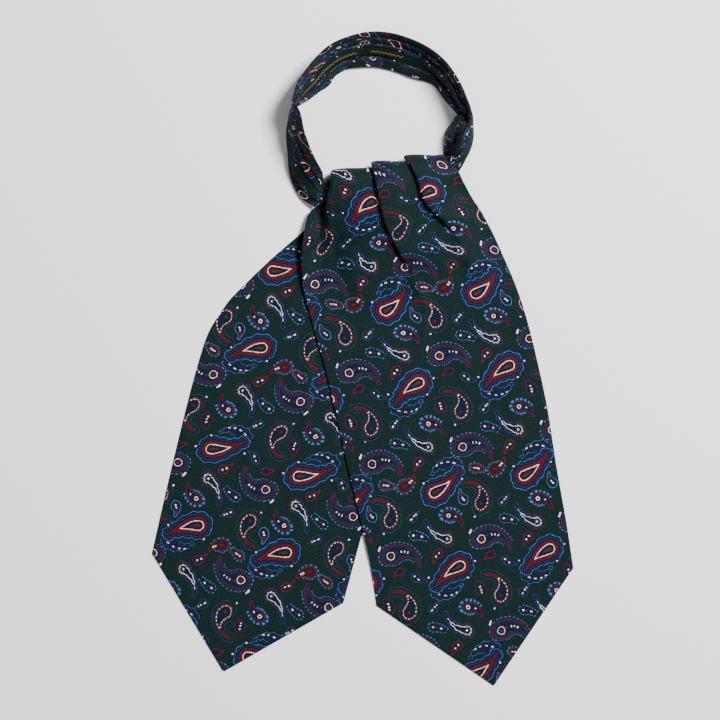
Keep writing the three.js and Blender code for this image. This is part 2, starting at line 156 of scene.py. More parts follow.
def edge_distance(grid):
    """Distance of each point to the nearest border, measured along the grid lines."""
    def from_ends(points, axis):
        """The smaller of the lengths run from a line's start and back from its end."""
        steps = np.linalg.norm(np.diff(points, axis=axis), axis=-1)
        zero = np.zeros_like(np.take(steps, [0], axis=axis))
        run = np.cumsum(np.concatenate([zero, steps], axis=axis), axis=axis)
        return np.minimum(run, np.take(run, [-1], axis=axis) - run)
    return np.minimum(from_ends(grid, 0), from_ends(grid, 1))


def shell(name, grid, thickness, flat, roll=1.2, floor=0.02, facing=None):
    """A closed mesh about grid (rows, columns, 3) in mm. Half-thickness grows like a quarter
    circle over the first `roll` mm from the border. flat holds each point's place on the cloth.
    The wall grows along the normals, or along `facing` where steps are sharper than the wall."""
    rows, wide = grid.shape[:2]
    near = np.clip(edge_distance(grid) / roll, 0, 1)
    half = thickness / 2 * np.sqrt(np.clip(1 - (1 - near) ** 2, BORDER, 1))
    away = (normals(grid) if facing is None else facing) * half[..., None]
    points = np.concatenate([(grid + away).reshape(-1, 3), (grid - away).reshape(-1, 3)])
    points[:, 2] = np.maximum(points[:, 2], floor)
    top = np.arange(rows * wide).reshape(rows, wide)
    low = top + rows * wide
    a, b, c, d = top[:-1, :-1], top[:-1, 1:], top[1:, 1:], top[1:, :-1]
    faces = [np.stack([a, b, c, d], -1).reshape(-1, 4)]
    faces.append(np.stack([a, d, c, b], -1).reshape(-1, 4) + rows * wide)
    ring = np.concatenate([top[0, :-1], top[:-1, -1], top[-1, :0:-1], top[:0:-1, 0]])
    under = ring + rows * wide
    faces.append(np.stack([ring, under, np.roll(under, -1), np.roll(ring, -1)], -1))
    quads = np.concatenate(faces)
    corner = points[quads]
    volume = np.einsum("ij,ij->i", corner[:, 0], np.cross(corner[:, 1], corner[:, 2])
                       + np.cross(corner[:, 2], corner[:, 3])).sum()
    if volume < 0:
        quads = quads[:, ::-1]
    return solid(name, points, quads, np.concatenate([flat.reshape(-1, 2)] * 2))


# %% [markdown]
# The print comes again every 70.3 mm across the cloth and every 71.8 mm down it, and its
# columns drift a little sideways on the way. Each piece says where its cloth lies on that.

# %% Places on the printed repeat
COLUMN, ROW = 70.3, 71.8
SLANT = 2.7 / ROW  # how far a column drifts, for each mm down


def on_print(across, down, turn=0, shift=(0, 0)):
    """Where a place on the flat cloth, in mm, lies on the printed repeat: turned in the
    plane, shifted, then moved sideways by slant * distance down."""
    c, s = math.cos(math.radians(turn)), math.sin(math.radians(turn))
    u, v = across * c - down * s + shift[0], across * s + down * c + shift[1]
    return np.stack([u - SLANT * v, v], -1)


print("one row down the cloth, on the print:", on_print(0, ROW).round(1).tolist())

# %% [markdown]
# ## The back blade
# The shorter end lies flat on the surface, under the other. Its two sides come from a table,
# and its point is made by pushing the rows forward in the middle, so no row shrinks to
# nothing at the tip. A long soft crease shows where it was folded in the drawer, and two
# more run out from the knot.

# %% Sides and level of the back blade
WALL = 1.2  # mm of cloth
REST = 0.72  # height of the cloth's middle where it lies on the surface
# A blade's frame starts at x, y and is turned by `turn` degrees. Its two corners are
# `corner` mm along, and its tip is `point` mm further.
BACK = dict(x=-9.6, y=118.6, turn=-14.5, corner=296, point=74)
BACK_SIDES = table(
    "along left right",
    (-36, 36, 66), (-18, 4, 70), (0, -12, 70), (13, -19, 69), (27, -28.5, 68),
    (37, -35.5, 68.5), (51, -45.2, 69.5), (65, -54.2, 71), (80, -63.2, 73), (93, -70.7, 74),
    (107, -76, 74.3), (119, -79.7, 74.3), (132, -81.3, 74.2), (168, -82.3, 73.6),
    (238, -81.4, 72.1), (296, -79.8, 71.4),
)
BACK_START = BACK_SIDES["along"][0]


def place(blade, across, along, level):
    """From a blade's own frame to the whole cravat's: a turn in the plane, then a shift."""
    c, s = math.cos(math.radians(blade["turn"])), math.sin(math.radians(blade["turn"]))
    return np.stack([blade["x"] + across * c + along * s,
                     blade["y"] + across * s - along * c, level + 0 * across], -1)


def within(blade, x, y):
    """The way back: where a place lies in the blade's own frame."""
    c, s = math.cos(math.radians(blade["turn"])), math.sin(math.radians(blade["turn"]))
    dx, dy = x - blade["x"], y - blade["y"]
    return dx * c + dy * s, dx * s - dy * c


def spread(count, fine):
    """Shares from 0 to 1 that crowd towards both ends, where the hem's roll is."""
    t = np.linspace(0, 1, count)
    return mix(t, (1 - np.cos(math.pi * t)) / 2, fine)


def creases(across, along, rows):
    """Height of soft ridges and troughs. Each has a start, an end, a height and a half-width;
    it is a bell across its line, and fades out at both ends."""
    height = np.zeros_like(across)
    for x0, y0, x1, y1, tall, wide in rows:
        run = np.array([x1 - x0, y1 - y0])
        long = np.linalg.norm(run)
        t = ((across - x0) * run[0] + (along - y0) * run[1]) / long**2
        off = ((across - x0) * run[1] - (along - y0) * run[0]) / long
        fade = ease(t, -0.15, 0.3) * (1 - ease(t, 0.6, 1.15))
        height += tall * fade * np.exp(-((off / wide) ** 2))
    return height


BACK_PRINT = dict(turn=177.3, shift=(1.5, 94.1), lean=12, straight=(110, 240))
BACK_CREASES = [
    (-5.5, 96, 3, 146, 1.3, 2.6), (3, 138, 11, 186, 0.7, 2.8), (-16, 60, -30, 104, 0.7, 6),
    (-40, 70, -58, 130, 0.5, 9), (-50, 180, -58, 262, 0.35, 9), (20, 230, 24, 320, 0.3, 10),
]

t, s = np.meshgrid(spread(130, 0.7), spread(110, 0.8), indexing="ij")
along = mix(BACK_START, BACK["corner"], t)
across = mix(read(BACK_SIDES, along, "left"), read(BACK_SIDES, along, "right"), s)
reach = along + BACK["point"] * np.maximum(0, along / BACK["corner"]) * (1 - np.abs(2 * s - 1))
middle = place(BACK, across, reach, REST + np.maximum(0, creases(across, reach, BACK_CREASES)))
leaning = BACK_PRINT["lean"] * (1 - ease(reach, *BACK_PRINT["straight"]))
back_blade = shell("back_blade", middle, WALL,
                   on_print(across - leaning, reach, BACK_PRINT["turn"], BACK_PRINT["shift"]))

# %% [markdown]
# ## The front blade
# The longer end comes up inside the loop, rolls over the top of the knot and falls down the
# front. Pressed folds gather it at the top. A pressed fold is an S in section: the cloth
# turns back under itself and returns, so it can be drawn as two arcs joined by a straight
# part. As the fold runs out, the turn goes from almost half a circle to nothing.

# %% Tables of the front blade
FRONT = dict(x=21, y=153, turn=10.8, corner=333, point=77, side=82)
ROLL = dict(along=12.5, level=9, radius=8.5, start=-12)
FRONT_SIDES = table(
    "along height left right",
    (4, 17.5, -50.4, 40), (12.5, 17.5, -52.6, 45.5), (20, 17.2, -55.7, 50),
    (22.5, 17, -58, 50.7), (24.5, 16.8, -62, 51.2), (27, 16.4, -67.2, 51.9),
    (33, 15.5, -71, 53.8), (40, 14, -73.9, 56.2), (50, 11.6, -77.5, 60.5),
    (60, 9.4, -80.3, 63.9), (72, 7.3, -82.5, 67.5), (88, 5.1, -83.6, 71.3),
    (104, 3.4, -82.2, 75), (122, 1.9, -81.2, 78.2), (144, 0.9, -78.9, 80.6),
    (170, 0.8, -77.7, 82), (207, 0.8, -76.6, 82.9), (253, 0.8, -74.6, 81.4),
    (300, 0.8, -72.8, 80.7), (333, 0.8, -73.9, 79.4),
)
FOLDS = [
    table("along across turn under loose",
          (4, -46.2, 86, 1.5, 2.5), (12.5, -48.6, 86, 3, 2.5), (20, -51.6, 86, 7, 2.5),
          (24.5, -52.8, 84, 9.5, 2.5), (27, -53.4, 80, 10, 2.5), (33, -54.8, 70, 8.5, 2.6),
          (40, -56.6, 52, 7.5, 2.8), (50, -58.8, 28, 6.5, 3), (60, -60.5, 14, 6, 2.6),
          (72, -61.5, 5, 6, 3), (120, -61.5, 4, 6, 3)),
    table("along across turn under loose",
          (4, -14.3, 176, 3.2, 1.1), (27, -13.8, 176, 3.2, 1.1), (44, -13.1, 174, 3, 1.1),
          (60, -9.8, 172, 2.4, 1.1), (68, -7.2, 165, 1.6, 1.15), (74, -5.2, 120, 0.9, 1.3),
          (80, -3.4, 70, 0.8, 1.7), (86, -1.4, 35, 1.2, 2.3), (94, 0.5, 10, 2, 3),
          (120, 3, 4, 2, 3)),
    table("along across turn under loose",
          (4, 11, 176, 2.6, 1.1), (9, 14.7, 176, 2.6, 1.1), (20, 17.6, 176, 2.6, 1.1),
          (33, 18.9, 175, 2.6, 1.1), (43, 23, 172, 2.3, 1.1), (49, 27.5, 165, 1.6, 1.15),
          (54, 31.2, 120, 0.9, 1.3), (59, 34.2, 70, 0.8, 1.7), (65, 36.6, 32, 1.2, 2.3),
          (74, 38.8, 9, 2, 3), (120, 42, 4, 2, 3)),
]
SIDE_DROP = table(
    "along left right",
    (4, 0.12, 0.25), (20, 0.15, 0.3), (30, 0.25, 0.45), (45, 0.5, 0.65), (65, 0.75, 0.8),
    (100, 0.85, 0.85), (150, 0.9, 0.9),
)
PRESSED = 4.2  # height of a fold's edge over the cloth to its left
print("front blade, mm:", FRONT["corner"] + FRONT["point"], "along, with", len(FOLDS), "folds")

# %% Sections across the front blade
ARC, STRAIGHT = 8, 3  # steps round an arc of a fold, and in the part between its arcs
PANELS = (26, 44, 38, 40)  # steps across each panel of cloth between two folds


def section(along):
    """Points across and above the base line, for an array of places along the blade.
    Each fold is an arc through its turn, a straight part, and the arc back."""
    points = []
    x = read(FRONT_SIDES, along, "left")
    for n, rows in enumerate(FOLDS):
        turn = np.radians(read(rows, along, "turn"))
        under, loose = read(rows, along, "under"), read(rows, along, "loose")
        start = (read(rows, along, "across") + loose - 2 * loose * np.sin(turn)
                 - under * np.cos(turn))
        t = np.linspace(0, 1, PANELS[n] + 1)
        if n == 0:  # the outermost panel is level, and its points crowd towards the side
            t = 1 - np.cos(t * math.pi / 2)
            rise = 2 * loose * (1 - np.cos(turn)) + under * np.sin(turn)
            h = np.minimum(PRESSED, rise) - rise
        target = h if n == 0 else 0 * h
        points += [(mix(x, start, k), mix(h, target, ease(k, 0, 1))) for k in t[n > 0:]]
        x, h = points[-1]
        for sign, t0, t1 in ((1, 0 * turn, turn), (-1, turn, 0 * turn)):
            x0, h0 = x, h
            for k in range(1, ARC + 1):
                a = mix(t0, t1, k / ARC)
                x = x0 + sign * loose * (np.sin(a) - np.sin(t0))
                h = h0 - sign * loose * (np.cos(a) - np.cos(t0))
                points.append((x, h))
            if sign == 1:
                for k in range(1, STRAIGHT + 1):
                    points.append((x + under * np.cos(turn) * k / STRAIGHT,
                                   h + under * np.sin(turn) * k / STRAIGHT))
                x, h = points[-1]
    t = np.sin(np.linspace(0, 1, PANELS[3] + 1) * math.pi / 2)[1:]
    right = read(FRONT_SIDES, along, "right")
    points += [(mix(x, right, k), mix(h, 0 * h, ease(k, 0, 1))) for k in t]
    across, level = (np.stack(part, -1) for part in zip(*points))
    return across, level


def arc_length(across, level):
    """Length of cloth from the first point of each section: the sum of all steps so far."""
    steps = np.hypot(np.diff(across, axis=1), np.diff(level, axis=1))
    return np.concatenate([np.zeros((len(steps), 1)), np.cumsum(steps, axis=1)], axis=1)


# %% The front blade's rows, from inside the roll to the hem
FINE, COARSE = 1.7, 4.5  # mm between rows where the folds are, and below them
EVEN = (84, 112)  # mm along, where the folds' spacing gives way to an even one
EVEN_LIKE = 80.0  # the even one is that of the section here
POINT_FROM = 144  # rows further along are pushed forward to make the point
HEM = 7  # mm of the last rows, which crowd towards the edge

turns = np.radians(np.linspace(ROLL["start"], 90, 26))
rolled = ROLL["along"] - ROLL["radius"] * np.cos(turns)
crowded = np.sin(np.linspace(0, 1, 8) * math.pi / 2)
falling = np.concatenate([np.arange(14, EVEN[1], FINE),
                          np.arange(EVEN[1], FRONT["corner"] - HEM, COARSE),
                          FRONT["corner"] - HEM * (1 - crowded)])
along = np.concatenate([rolled, falling])
lean = np.concatenate([turns, np.full(len(falling), math.pi / 2)])[:, None]
height = np.concatenate([ROLL["level"] + ROLL["radius"] * np.sin(turns),
                         read(FRONT_SIDES, falling, "height")])
across, level = section(along)
share = arc_length(*section(np.array([EVEN_LIKE])))
share = share / share[0, -1]
flatten = ease(along, *EVEN)[:, None]
across = mix(across, mix(across[:, :1], across[:, -1:], share), flatten)
level = mix(level, 0, flatten)

# Its place on the flat cloth: measured from the right side, and down the fall
run = arc_length(across, level)
steps = np.hypot(np.diff(along), np.diff(height))
down = np.concatenate([[0], np.cumsum(steps)])
down = down - down[-1] + FRONT["corner"]
point = np.maximum(0, (along - POINT_FROM) / (FRONT["corner"] - POINT_FROM))
point = FRONT["point"] * point[:, None]
across_share = (across - across[:, :1]) / (across[:, -1:] - across[:, :1])
pushed = point * (1 - np.abs(2 * across_share - 1))
flat = on_print(FRONT["side"] - run[:, -1:] + run, down[:, None] + pushed)
print("cloth across each section, mm:", run[::16, -1].round())

# %% [markdown]
# The base line of each section sinks towards the sides, and the cloth rests on the surface
# or on the back blade. A soft maximum keeps it just above whatever lies below.

# %% Falling and resting
LIFT = 1.9  # mm by which the back blade raises the cloth above it
LIFT_FADES = (3, 26)  # mm outside the back blade, where the lift runs out
SINKS = dict(left=16, right=20)  # mm that it sinks on, from the first fold and the right side
BLUR = 0.8  # mm of rounding where falling cloth meets what it rests on
BLUR_STARTS, BLUR_ENDS = (20, 60), (120, 160)  # mm along, where that sets in and runs out


def rest_level(x, y):
    """Middle height of cloth at rest: raised where the back blade lies below."""
    across, along = within(BACK, x, y)
    outside = np.maximum.reduce([read(BACK_SIDES, along, "left") - across,
                                 across - read(BACK_SIDES, along, "right"),
                                 BACK_START - along,
                                 along - BACK["corner"] - BACK["point"]])
    return mix(REST, REST + LIFT, 1 - ease(outside, *LIFT_FADES))


def soft_max(a, b, blur):
    """The larger of two heights, rounded over where they cross."""
    return (a + b + np.sqrt((a - b) ** 2 + blur**2)) / 2


FRONT_CREASES = [
    (-2, 84, 10, 128, 1.3, 5), (-8, 92, -6, 132, -0.9, 6), (38, 62, 50, 100, 1.1, 5),
    (30, 70, 38, 112, -0.8, 6), (-76, 46, -60, 30, 1.3, 3), (-74, 62, -58, 40, -0.9, 3.5),
    (-66, 92, -58, 50, 1.2, 4.5), (-46, 60, -42, 104, 0.8, 6), (18, 110, 30, 190, 0.5, 9),
    (-60, 130, -56, 220, 0.5, 8), (56, 150, 60, 240, 0.4, 9), (-10, 190, -2, 290, 0.35, 10),
]
left = read(FOLDS[0], along, "across")[:, None]
right = read(FRONT_SIDES, along, "right")[:, None]
low = np.exp(-(((across - left) / SINKS["left"]) ** 2))
off = np.exp(-(((right - across) / SINKS["right"]) ** 2))
low = read(SIDE_DROP, along, "left")[:, None] * low
off = read(SIDE_DROP, along, "right")[:, None] * off
base = mix(REST, height[:, None], np.clip(1 - low - off, 0, 1))
reach = along[:, None] - level * np.cos(lean) + pushed
middle = place(FRONT, across, reach, base + level * np.sin(lean))
middle[..., 2] += creases(across, reach, FRONT_CREASES)
rest = rest_level(middle[..., 0], middle[..., 1])
blur = BLUR * ease(along, *BLUR_STARTS)[:, None] * (1 - ease(along, *BLUR_ENDS)[:, None])
middle[..., 2] = soft_max(middle[..., 2], rest, blur + 1e-6)
front_blade = shell("front_blade", middle, WALL, flat)

# %% [markdown]
# ## The neckband
# The strip's middle is pleated and pressed into a band. It stands on its lower edge round
# the loop, leans out at the back so that its inner face shows, stands up straight at the
# sides and twists over on its way into the knot. Two lines in space describe it, its lower
# and its upper edge, and the pleats are small steps between them. Each pleat hides a fold of
# cloth, so the print breaks off at its edge and goes on further along.

# %% Two edges and the pleats between them
BAND_WALL = 2.4  # mm: the pleated cloth lies double
BAND = table(
    "at bx by bz tx ty tz",
    (-1, -27.6, 112.6, 3.2, -20.4, 131.2, 6.6), (0, -36.6, 117.2, 4.6, -29, 136.6, 9),
    (1, -47.8, 124.7, 1.4, -30.6, 143.6, 14.5), (2, -55.5, 140.8, 1, -35.6, 152.2, 23),
    (3, -57, 160.7, 1, -40.2, 162.9, 28.5),
    (4, -57, 177.5, 1, -45.5, 176, 32), (5, -53.9, 189.7, 1, -47.8, 187.4, 33.4),
    (6, -47.8, 195.8, 1, -52, 196.5, 33.5), (7, -39.4, 201.2, 1, -50.1, 206.6, 31.8),
    (8, -28.7, 208.6, 1, -45.5, 216.5, 28), (9, -19.5, 217.2, 1, -35.6, 229.5, 27.5),
    (10, -9.6, 223.1, 1, -20.3, 242.2, 26), (11, 5, 224.9, 1, 2.7, 249.6, 23),
    (12, 21, 221.8, 1, 25.6, 248, 21.5), (13, 37.9, 216.5, 1, 47, 239.8, 23.5),
    (14, 52.4, 210.9, 1, 62.3, 227.4, 28.5), (15, 60.6, 203.5, 1, 72.3, 214.2, 30.5),
    (16, 66.2, 196, 1, 77.6, 201.2, 31.7), (17, 72.3, 189.5, 1, 81.3, 191, 32.8),
    (18, 79, 182.8, 1, 81.6, 183.5, 33.5), (19, 83.4, 175.2, 1, 77.6, 175.2, 31),
    (20, 84, 167.5, 1, 73.8, 167.2, 26.5), (21, 81.5, 158.9, 1, 69.6, 161.4, 20),
    (22, 77.4, 150, 1.2, 66.6, 156.4, 11.5), (23, 73.2, 143.2, 1.4, 63.4, 149.8, 5.6),
)
BAND_WIDE, BAND_END = 34, BAND["at"][-1]
BAND_START = table(  # the left end slants, and stops just short of the front blade
    "across at", (0, -0.04), (0.1, -0.06), (0.3, -0.33), (0.7, -0.37), (1, -0.85),
)
PLEATS = table(
    "across stands",
    (0, 0.1), (0.05, 0.4), (0.12, 0.7), (0.22, 1), (0.245, 0.9), (0.262, -0.4), (0.285, -0.5),
    (0.36, -0.1), (0.47, 0.2), (0.57, 0.6), (0.605, 0.7), (0.622, -0.5), (0.645, -0.6),
    (0.72, 0.1), (0.785, 0.6), (0.8, 0.5), (0.815, -0.5), (0.84, -0.5), (0.93, 0.1), (1, 0.1),
)
CROWN = 2.2  # mm that the band's middle bows outwards
WANDER = 0.5  # mm of slow waves between the pleats
EDGE_WAVES = table(  # how far the lower edge sways into the loop
    "at inward",
    (-1, 0), (7.6, 0), (8.3, 1.2), (8.9, -1.3), (9.6, -0.4), (10.6, 0.9), (11.6, 0), (13, 0.6),
    (14, -0.6), (15, 0.4), (16, 0), (23, 0),
)
TUCKED = 16  # mm of cloth hidden behind each pleat, so the print jumps there
TUCKS = ((0.245, 0.262), (0.605, 0.622), (0.8, 0.815))  # where the pleats' edges step down


def band_point(at, across, stands):
    """Between the two edges, bowed outwards by the crown and moved in by the pleats."""
    def edge(names, s):
        """A point of one edge, from its three columns."""
        return np.stack([read(BAND, s, name) for name in names.split()], -1)
    low, high = edge("bx by bz", at), edge("tx ty tz", at)
    ahead, behind = np.minimum(at + 0.1, BAND_END), np.maximum(at - 0.1, BAND["at"][0])
    flat_run = [edge("bx by bz", s) + edge("tx ty tz", s) for s in (ahead, behind)]
    run = (flat_run[0] - flat_run[1]) * np.array([1, 1, 0])
    chord = high - low
    inward = unit(np.cross(run, chord))
    width = np.linalg.norm(chord, axis=-1)
    crown = CROWN * 4 * across * (1 - across) * ease(BAND_END - at, 0, 3)
    shift = stands * np.minimum(1, width / BAND_WIDE) - crown
    return low + chord * across[..., None] + inward * shift[..., None], inward


def band_cloth(at, across):
    """The pleated cloth: its small waves and the sway of its lower edge added to the pleats."""
    wander = WANDER * np.sin(at * 2.1 + 5 * across) * np.sin(at * 0.83 + 2 + 3 * across)
    wander += read(EDGE_WAVES, at, "inward") * ease(0.3 - across, 0, 0.3)
    return band_point(at, across, read(PLEATS, across, "stands") + wander)


share, across = np.meshgrid(np.linspace(0, 1, 300),
                            np.unique(np.concatenate([PLEATS["across"], np.linspace(0, 1, 44)])),
                            indexing="ij")
at = mix(read(BAND_START, across, "at"), BAND_END, share)
middle, inward = band_cloth(at, across)
length = run_along(middle.mean(axis=1))[:, None] + 0 * across
hidden = TUCKED * sum(ease(across, low, high) for low, high in TUCKS)
neckband = shell("neckband", middle, BAND_WALL,
                 on_print(across * BAND_WIDE + hidden, length), 1.4, facing=inward)
print("neckband along its middle, mm:", round(length[-1, 0]))

# %% [markdown]
# ## The inner leaf
# Beside the knot the innermost pleats open away from the band, like the page of a book.

# %% A leaf between two more edges
LEAF = table(
    "at bx by bz tx ty tz",
    (0, 71.6, 186.6, 1.2, 77, 186.4, 25), (1, 69, 181.6, 1, 76.6, 181.4, 26),
    (2, 65.6, 177, 1, 73.6, 176.2, 24.5), (3, 63.7, 172.4, 1, 71.5, 170.6, 20),
    (4, 63, 166.4, 1, 70.8, 165.4, 14.5), (5, 62.8, 156, 1, 70.5, 156.4, 6.5),
)
LEAF_WALL = 1.3
LEAF_BOW, LEAF_WAVE = 1.6, 0.35  # mm that its middle bows out, and that small waves add
LEAF_SIZE = (30, 6)  # mm of cloth from edge to edge, and from one row above to the next
LEAF_FROM = 60  # mm down the print where its cloth starts

at, t = np.meshgrid(np.linspace(0, 5, 60), spread(40, 0.6), indexing="ij")
middle = np.stack([mix(read(LEAF, at, "b" + axis), read(LEAF, at, "t" + axis), t)
                   for axis in "xyz"], -1)
middle[..., 0] -= (LEAF_BOW * np.sin(math.pi * t)
                   + LEAF_WAVE * np.sin(5 * math.pi * t) * ease(at, 0, 1))
inner_leaf = shell("inner_leaf", middle, LEAF_WALL,
                   on_print(LEAF_SIZE[0] * t, LEAF_FROM + LEAF_SIZE[1] * at))

# %% [markdown]
# ## The label strip
# A plain woven ribbon is sewn along the inside of the band. It is made from the band's own
# points, moved in by half its wall, so it follows every bend.

# %% A ribbon on the band's inner face
RIBBON_WALL, RIBBON_WIDE = 0.5, 6.8
RIBBON_GAP = 0.3  # mm between it and the band
RIBBON_ENDS = (6.6, 12.4)  # rows of the band's table
RIBBON_EDGES = (0.33, 0.53)  # shares of the band's height

at, t = np.meshgrid(np.linspace(*RIBBON_ENDS, 120), np.linspace(0, 1, 17), indexing="ij")
points, inward = band_cloth(at, mix(*RIBBON_EDGES, t))
points += inward * (BAND_WALL / 2 + RIBBON_GAP + RIBBON_WALL / 2)
length = run_along(points[:, 8])[:, None] + 0 * at
label_strip = shell("label_strip", points, RIBBON_WALL, np.stack([RIBBON_WIDE * t, length], -1),
                    0.4, facing=inward)
print("label strip along its middle, mm:", round(length[-1, 0]))

# %% [markdown]
# ## Inside the knot
# The layers inside the knot can't be seen, so one rounded solid stands for them.

# %% One rounded solid
CORE = table(
    "across near far top",
    (-36, 16, 30, 6), (-30, 9.5, 42, 11.5), (-15, 7, 50, 14.5), (5, 6.6, 52, 15),
    (20, 7, 48, 14), (28, 9.5, 40, 10.5), (32, 16, 28, 6),
)
CORE_LOW, CORE_FAR_TOP = 1.9, 3.9  # heights of its underside and of its far edge's top
SQUARE = 0.6  # 1 would make each ring an ellipse, and a smaller number fills its corners
AROUND = 40  # points on a ring


def bow(v):
    """The size of v to the power SQUARE, with v's own sign, so it nears -1 or 1 sooner."""
    return np.sign(v) * np.abs(v) ** SQUARE


at, turn = np.meshgrid(np.linspace(CORE["across"][0], CORE["across"][-1], 25),
                       np.arange(AROUND) / AROUND * 2 * math.pi, indexing="ij")
near, far = read(CORE, at, "near"), read(CORE, at, "far")
t = (1 - bow(np.cos(turn))) / 2
roof = mix(read(CORE, at, "top"), CORE_FAR_TOP, ease(t, 0.3, 1))
rings = place(FRONT, at, mix(near, far, t), mix(CORE_LOW, roof, (1 + bow(np.sin(turn))) / 2))
rings = np.concatenate([rings[:1].mean(axis=1, keepdims=True).repeat(AROUND, 1), rings,
                        rings[-1:].mean(axis=1, keepdims=True).repeat(AROUND, 1)])
ids = np.arange(rings.shape[0] * AROUND).reshape(-1, AROUND)
ids[0], ids[-1] = ids[0, 0], ids[-1, 0]
after = np.roll(ids, -1, axis=1)
quads = np.stack([ids[:-1], after[:-1], after[1:], ids[1:]], -1).reshape(-1, 4)
used, quads = np.unique(quads, return_inverse=True)
knot_core = solid("knot_core", rings.reshape(-1, 3)[used], quads.reshape(-1, 4),
                  rings.reshape(-1, 3)[used][:, :2])

# %% [markdown]
# ## The print
# The silk is printed with paisleys. A paisley is a drop whose tail curls over, filled with
# outlines inside outlines. The large ones stand in rows 72 mm apart, and small ones fill the
# gaps. A shader can draw them: it finds how far a place is from the drop's edge, and each
# distance has its ink. So lines stay sharp at any scale, and the repeat costs nothing.

# %% Colours and inks
def colour(code, cover=1.0):
    """A hex sRGB colour as the linear values that the shader works in."""
    srgb = np.array([int(code[i:i + 2], 16) for i in (1, 3, 5)]) / 255
    linear = np.where(srgb <= 0.04045, srgb / 12.92, ((srgb + 0.055) / 1.055) ** 2.4)
    return (*linear.tolist(), cover)


INKS = dict(
    clear=colour("#000000", 0.0), ground=colour("#0b1e1d"), navy=colour("#0f1428"),
    slate=colour("#213356"), blue=colour("#355b97"), red=colour("#5e0f15"),
    wine=colour("#340c12"), rust=colour("#4a200f"), cream=colour("#d4cdc2"),
)
print("inks:", *INKS)


# %% One helper for every shader node
def add(tree, kind, inputs=(), out=0, **settings):
    """Add a node, fill its inputs and return one output. Inputs come in order, or by number
    in a dict. A socket is joined and anything else is set as the input's own value."""
    node = tree.nodes.new("ShaderNode" + kind)
    for key, value in settings.items():
        setattr(node, key, value)
    for i, value in inputs.items() if isinstance(inputs, dict) else enumerate(inputs):
        if isinstance(value, bpy.types.NodeSocket):
            tree.links.new(value, node.inputs[i])
        else:
            node.inputs[i].default_value = value
    return node.outputs[out]


def stripes(tree, value, text, low=-10.0, high=30.0):
    """Plain inks along a value in mm. The text names an ink, then where it ends, and so on."""
    words = text.split()
    share = add(tree, "MapRange", (value, low, high, 0.0, 1.0))
    node = add(tree, "ValToRGB", (share,)).node
    node.color_ramp.interpolation = "CONSTANT"
    stops = node.color_ramp.elements
    stops.remove(stops[1])
    stops[0].color = INKS[words[0]]
    for end, ink in zip(words[1::2], words[2::2] + ["clear"]):
        stops.new((float(end) - low) / (high - low)).color = INKS[ink]
    return node.outputs["Color"], node.outputs["Alpha"]


def over(tree, below, paint, mask=None):
    """Paint laid over what is below, where it covers and where the mask allows."""
    ink, cover = paint
    if mask is not None:
        cover = add(tree, "Math", (cover, mask), operation="MULTIPLY")
    return add(tree, "Mix", {0: cover, 6: below, 7: ink}, out=2, data_type="RGBA")


# %% [markdown]
# Each motif is bent along an arc. Seen from the arc's centre, the angle says how far along
# the spine a place is, and the distance how far to its side. So the bent drop becomes a
# straight one, a line with a radius that shrinks from head to tail.

# %% One motif's distances, repeated over the cloth
def boteh(tree, cloth, u, v, heading, rows, kind):
    """Along and across the spine, and away from the edge, in mm, for the nearest copy.
    along = bend * angle, across = distance to the arc's centre - bend,
    away = distance to the spine - radius(along)."""
    bend = abs(kind["bend"])
    cell = (COLUMN / 2, rows * ROW / 2, 1)
    p = add(tree, "VectorMath", (cloth, (u, v, 0)), operation="SUBTRACT")
    p = add(tree, "VectorMath", (p, cell, tuple(-side for side in cell)), operation="WRAP")
    p = add(tree, "Mapping", (p, (0, 0, 0), (0, 0, math.radians(heading)),
                              (1, math.copysign(1, kind["bend"]), 1)), vector_type="TEXTURE")
    x, y, _ = add(tree, "SeparateXYZ", (p,)).node.outputs
    arm = add(tree, "Math", (bend, y), operation="SUBTRACT")
    reach = add(tree, "VectorMath", (add(tree, "CombineXYZ", (x, arm)),), 1, operation="LENGTH")
    angle = add(tree, "Math", (x, arm), operation="ARCTAN2")
    along = add(tree, "Math", (angle, bend), operation="MULTIPLY")
    across = add(tree, "Math", (reach, bend), operation="SUBTRACT")
    nearest = add(tree, "Clamp", (along, 0.0, kind["long"]))
    beyond = add(tree, "Math", (along, nearest), operation="SUBTRACT")
    off = add(tree, "VectorMath", (add(tree, "CombineXYZ", (beyond, across)),), 1,
              operation="LENGTH")
    narrow = kind.get("neck", kind["long"])
    radius = add(tree, "MapRange", (along, 0.0, narrow, kind["head"], kind["tail"]),
                 interpolation_type="SMOOTHSTEP")
    return along, across, add(tree, "Math", (off, radius), operation="SUBTRACT")


def edge_run(tree, along, across, head):
    """How far a place is along the edge. Behind the head's centre it is - radius * angle."""
    ahead = add(tree, "Math", (along, 0.0), operation="MAXIMUM")
    behind = add(tree, "Math", (ahead, along), operation="SUBTRACT")
    side = add(tree, "Math", (across,), operation="ABSOLUTE")
    angle = add(tree, "Math", (behind, side), operation="ARCTAN2")
    return add(tree, "Math", (angle, -head, ahead), operation="MULTIPLY_ADD")


def wave(tree, run, length):
    """cos(2 pi run / length)"""
    turns = add(tree, "Math", (run, 2 * math.pi / length), operation="MULTIPLY")
    return add(tree, "Math", (turns,), operation="COSINE")


def bead_mask(tree, along, run, period, until):
    """1 on every second piece of the edge's run, as far along the spine as `until`."""
    beads = add(tree, "Math", (wave(tree, run, period), -0.1), operation="GREATER_THAN")
    near = add(tree, "Math", (along, until), operation="LESS_THAN")
    return add(tree, "Math", (beads, near), operation="MULTIPLY")


def lobed(tree, away, run, height, length):
    """The edge waves out and in along its run, and the lines deep inside stay smooth."""
    amount = add(tree, "MapRange", (away, -4.5, -1.0, 0.0, height))
    return add(tree, "Math", (wave(tree, run, length), amount, away), operation="MULTIPLY_ADD")


